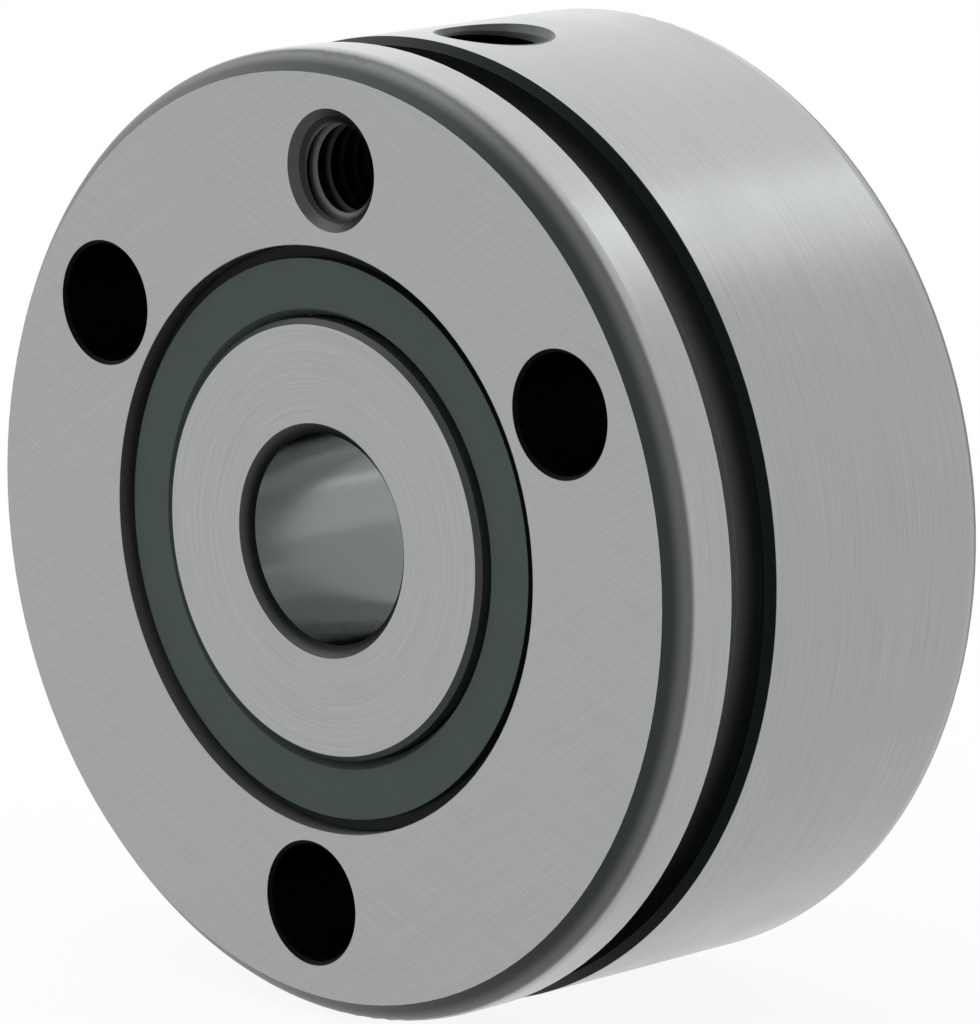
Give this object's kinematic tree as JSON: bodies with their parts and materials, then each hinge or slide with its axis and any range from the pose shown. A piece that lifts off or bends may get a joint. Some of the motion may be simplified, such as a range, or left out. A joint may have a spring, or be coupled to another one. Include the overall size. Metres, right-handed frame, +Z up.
{
  "type": "axial angular contact ball bearing",
  "caption": "Screw-mounted axial angular contact ball bearing with a thick outer ring, extraction groove, lubrication ports, rubber seals and a split inner ring.",
  "frame": {"origin": "middle of the bearing, on its axis and half way between its two faces", "axes": "the bearing axis lies along Y, the front face with the threaded port looks towards -Y, and +Z is up with the ports near the top"},
  "size_m": [0.055, 0.025, 0.055],
  "materials": {
    "ring_steel": "fine-ground satin bearing steel",
    "inner_ring_steel": "fine-ground satin bearing steel",
    "ball_steel": "lapped and polished bearing steel",
    "cage_polyamide": "moulded glass-filled polyamide",
    "seal_rubber": "moulded matte nitrile rubber, dark green-grey",
    "stiffener_steel": "cold-rolled sheet steel"
  },
  "bodies": {
    "outer_ring": {"outer_ring": "ring_steel", "front_seal": "seal_rubber", "rear_seal": "seal_rubber", "front_seal_stiffener": "stiffener_steel", "rear_seal_stiffener": "stiffener_steel"},
    "inner_ring": {"front_inner_ring": "inner_ring_steel", "rear_inner_ring": "inner_ring_steel"},
    "front_cage": {"front_cage": "cage_polyamide"},
    "rear_cage": {"rear_cage": "cage_polyamide"},
    "front_ball_01": {"front_ball_01": "ball_steel"},
    "front_ball_02": {"front_ball_02": "ball_steel"},
    "front_ball_03": {"front_ball_03": "ball_steel"},
    "front_ball_04": {"front_ball_04": "ball_steel"},
    "front_ball_05": {"front_ball_05": "ball_steel"},
    "front_ball_06": {"front_ball_06": "ball_steel"},
    "front_ball_07": {"front_ball_07": "ball_steel"},
    "front_ball_08": {"front_ball_08": "ball_steel"},
    "front_ball_09": {"front_ball_09": "ball_steel"},
    "front_ball_10": {"front_ball_10": "ball_steel"},
    "front_ball_11": {"front_ball_11": "ball_steel"},
    "front_ball_12": {"front_ball_12": "ball_steel"},
    "rear_ball_01": {"rear_ball_01": "ball_steel"},
    "rear_ball_02": {"rear_ball_02": "ball_steel"},
    "rear_ball_03": {"rear_ball_03": "ball_steel"},
    "rear_ball_04": {"rear_ball_04": "ball_steel"},
    "rear_ball_05": {"rear_ball_05": "ball_steel"},
    "rear_ball_06": {"rear_ball_06": "ball_steel"},
    "rear_ball_07": {"rear_ball_07": "ball_steel"},
    "rear_ball_08": {"rear_ball_08": "ball_steel"},
    "rear_ball_09": {"rear_ball_09": "ball_steel"},
    "rear_ball_10": {"rear_ball_10": "ball_steel"},
    "rear_ball_11": {"rear_ball_11": "ball_steel"},
    "rear_ball_12": {"rear_ball_12": "ball_steel"}
  },
  "joints": [
    {"name": "inner_spin", "type": "hinge", "parent": "outer_ring", "child": "inner_ring", "pos_m": [0, 0, 0], "axis": [0, -1, 0], "continuous": true},
    {"name": "front_cage_spin", "type": "hinge", "parent": "outer_ring", "child": "front_cage", "pos_m": [0, 0, 0], "axis": [0, -1, 0], "continuous": true},
    {"name": "rear_cage_spin", "type": "hinge", "parent": "outer_ring", "child": "rear_cage", "pos_m": [0, 0, 0], "axis": [0, -1, 0], "continuous": true},
    {"name": "front_ball_01_roll", "type": "hinge", "parent": "front_cage", "child": "front_ball_01", "pos_m": [0.00057, -0.00575, 0.01299], "axis": [0.0378, -0.5, 0.8652], "continuous": true},
    {"name": "front_ball_02_roll", "type": "hinge", "parent": "front_cage", "child": "front_ball_02", "pos_m": [-0.006, -0.00575, 0.01153], "axis": [-0.3999, -0.5, 0.7682], "continuous": true},
    {"name": "front_ball_03_roll", "type": "hinge", "parent": "front_cage", "child": "front_ball_03", "pos_m": [-0.01096, -0.00575, 0.00698], "axis": [-0.7304, -0.5, 0.4653], "continuous": true},
    {"name": "front_ball_04_roll", "type": "hinge", "parent": "front_cage", "child": "front_ball_04", "pos_m": [-0.01299, -0.00575, 0.00057], "axis": [-0.8652, -0.5, 0.0378], "continuous": true},
    {"name": "front_ball_05_roll", "type": "hinge", "parent": "front_cage", "child": "front_ball_05", "pos_m": [-0.01153, -0.00575, -0.006], "axis": [-0.7682, -0.5, -0.3999], "continuous": true},
    {"name": "front_ball_06_roll", "type": "hinge", "parent": "front_cage", "child": "front_ball_06", "pos_m": [-0.00698, -0.00575, -0.01096], "axis": [-0.4653, -0.5, -0.7304], "continuous": true},
    {"name": "front_ball_07_roll", "type": "hinge", "parent": "front_cage", "child": "front_ball_07", "pos_m": [-0.00057, -0.00575, -0.01299], "axis": [-0.0378, -0.5, -0.8652], "continuous": true},
    {"name": "front_ball_08_roll", "type": "hinge", "parent": "front_cage", "child": "front_ball_08", "pos_m": [0.006, -0.00575, -0.01153], "axis": [0.3999, -0.5, -0.7682], "continuous": true},
    {"name": "front_ball_09_roll", "type": "hinge", "parent": "front_cage", "child": "front_ball_09", "pos_m": [0.01096, -0.00575, -0.00698], "axis": [0.7304, -0.5, -0.4653], "continuous": true},
    {"name": "front_ball_10_roll", "type": "hinge", "parent": "front_cage", "child": "front_ball_10", "pos_m": [0.01299, -0.00575, -0.00057], "axis": [0.8652, -0.5, -0.0378], "continuous": true},
    {"name": "front_ball_11_roll", "type": "hinge", "parent": "front_cage", "child": "front_ball_11", "pos_m": [0.01153, -0.00575, 0.006], "axis": [0.7682, -0.5, 0.3999], "continuous": true},
    {"name": "front_ball_12_roll", "type": "hinge", "parent": "front_cage", "child": "front_ball_12", "pos_m": [0.00698, -0.00575, 0.01096], "axis": [0.4653, -0.5, 0.7304], "continuous": true},
    {"name": "rear_ball_01_roll", "type": "hinge", "parent": "rear_cage", "child": "rear_ball_01", "pos_m": [0.00057, 0.00575, 0.01299], "axis": [-0.0378, -0.5, -0.8652], "continuous": true},
    {"name": "rear_ball_02_roll", "type": "hinge", "parent": "rear_cage", "child": "rear_ball_02", "pos_m": [-0.006, 0.00575, 0.01153], "axis": [0.3999, -0.5, -0.7682], "continuous": true},
    {"name": "rear_ball_03_roll", "type": "hinge", "parent": "rear_cage", "child": "rear_ball_03", "pos_m": [-0.01096, 0.00575, 0.00698], "axis": [0.7304, -0.5, -0.4653], "continuous": true},
    {"name": "rear_ball_04_roll", "type": "hinge", "parent": "rear_cage", "child": "rear_ball_04", "pos_m": [-0.01299, 0.00575, 0.00057], "axis": [0.8652, -0.5, -0.0378], "continuous": true},
    {"name": "rear_ball_05_roll", "type": "hinge", "parent": "rear_cage", "child": "rear_ball_05", "pos_m": [-0.01153, 0.00575, -0.006], "axis": [0.7682, -0.5, 0.3999], "continuous": true},
    {"name": "rear_ball_06_roll", "type": "hinge", "parent": "rear_cage", "child": "rear_ball_06", "pos_m": [-0.00698, 0.00575, -0.01096], "axis": [0.4653, -0.5, 0.7304], "continuous": true},
    {"name": "rear_ball_07_roll", "type": "hinge", "parent": "rear_cage", "child": "rear_ball_07", "pos_m": [-0.00057, 0.00575, -0.01299], "axis": [0.0378, -0.5, 0.8652], "continuous": true},
    {"name": "rear_ball_08_roll", "type": "hinge", "parent": "rear_cage", "child": "rear_ball_08", "pos_m": [0.006, 0.00575, -0.01153], "axis": [-0.3999, -0.5, 0.7682], "continuous": true},
    {"name": "rear_ball_09_roll", "type": "hinge", "parent": "rear_cage", "child": "rear_ball_09", "pos_m": [0.01096, 0.00575, -0.00698], "axis": [-0.7304, -0.5, 0.4653], "continuous": true},
    {"name": "rear_ball_10_roll", "type": "hinge", "parent": "rear_cage", "child": "rear_ball_10", "pos_m": [0.01299, 0.00575, -0.00057], "axis": [-0.8652, -0.5, 0.0378], "continuous": true},
    {"name": "rear_ball_11_roll", "type": "hinge", "parent": "rear_cage", "child": "rear_ball_11", "pos_m": [0.01153, 0.00575, 0.006], "axis": [-0.7682, -0.5, -0.3999], "continuous": true},
    {"name": "rear_ball_12_roll", "type": "hinge", "parent": "rear_cage", "child": "rear_ball_12", "pos_m": [0.00698, 0.00575, 0.01096], "axis": [-0.4653, -0.5, -0.7304], "continuous": true}
  ],
  "couplings": [
    {"joint": "front_cage_spin", "follows": "inner_spin", "ratio": 0.44664},
    {"joint": "rear_cage_spin", "follows": "inner_spin", "ratio": 0.44664},
    {"joint": "front_ball_01_roll", "follows": "inner_spin", "ratio": -2.3157},
    {"joint": "front_ball_02_roll", "follows": "inner_spin", "ratio": -2.3157},
    {"joint": "front_ball_03_roll", "follows": "inner_spin", "ratio": -2.3157},
    {"joint": "front_ball_04_roll", "follows": "inner_spin", "ratio": -2.3157},
    {"joint": "front_ball_05_roll", "follows": "inner_spin", "ratio": -2.3157},
    {"joint": "front_ball_06_roll", "follows": "inner_spin", "ratio": -2.3157},
    {"joint": "front_ball_07_roll", "follows": "inner_spin", "ratio": -2.3157},
    {"joint": "front_ball_08_roll", "follows": "inner_spin", "ratio": -2.3157},
    {"joint": "front_ball_09_roll", "follows": "inner_spin", "ratio": -2.3157},
    {"joint": "front_ball_10_roll", "follows": "inner_spin", "ratio": -2.3157},
    {"joint": "front_ball_11_roll", "follows": "inner_spin", "ratio": -2.3157},
    {"joint": "front_ball_12_roll", "follows": "inner_spin", "ratio": -2.3157},
    {"joint": "rear_ball_01_roll", "follows": "inner_spin", "ratio": -2.3157},
    {"joint": "rear_ball_02_roll", "follows": "inner_spin", "ratio": -2.3157},
    {"joint": "rear_ball_03_roll", "follows": "inner_spin", "ratio": -2.3157},
    {"joint": "rear_ball_04_roll", "follows": "inner_spin", "ratio": -2.3157},
    {"joint": "rear_ball_05_roll", "follows": "inner_spin", "ratio": -2.3157},
    {"joint": "rear_ball_06_roll", "follows": "inner_spin", "ratio": -2.3157},
    {"joint": "rear_ball_07_roll", "follows": "inner_spin", "ratio": -2.3157},
    {"joint": "rear_ball_08_roll", "follows": "inner_spin", "ratio": -2.3157},
    {"joint": "rear_ball_09_roll", "follows": "inner_spin", "ratio": -2.3157},
    {"joint": "rear_ball_10_roll", "follows": "inner_spin", "ratio": -2.3157},
    {"joint": "rear_ball_11_roll", "follows": "inner_spin", "ratio": -2.3157},
    {"joint": "rear_ball_12_roll", "follows": "inner_spin", "ratio": -2.3157}
  ]
}
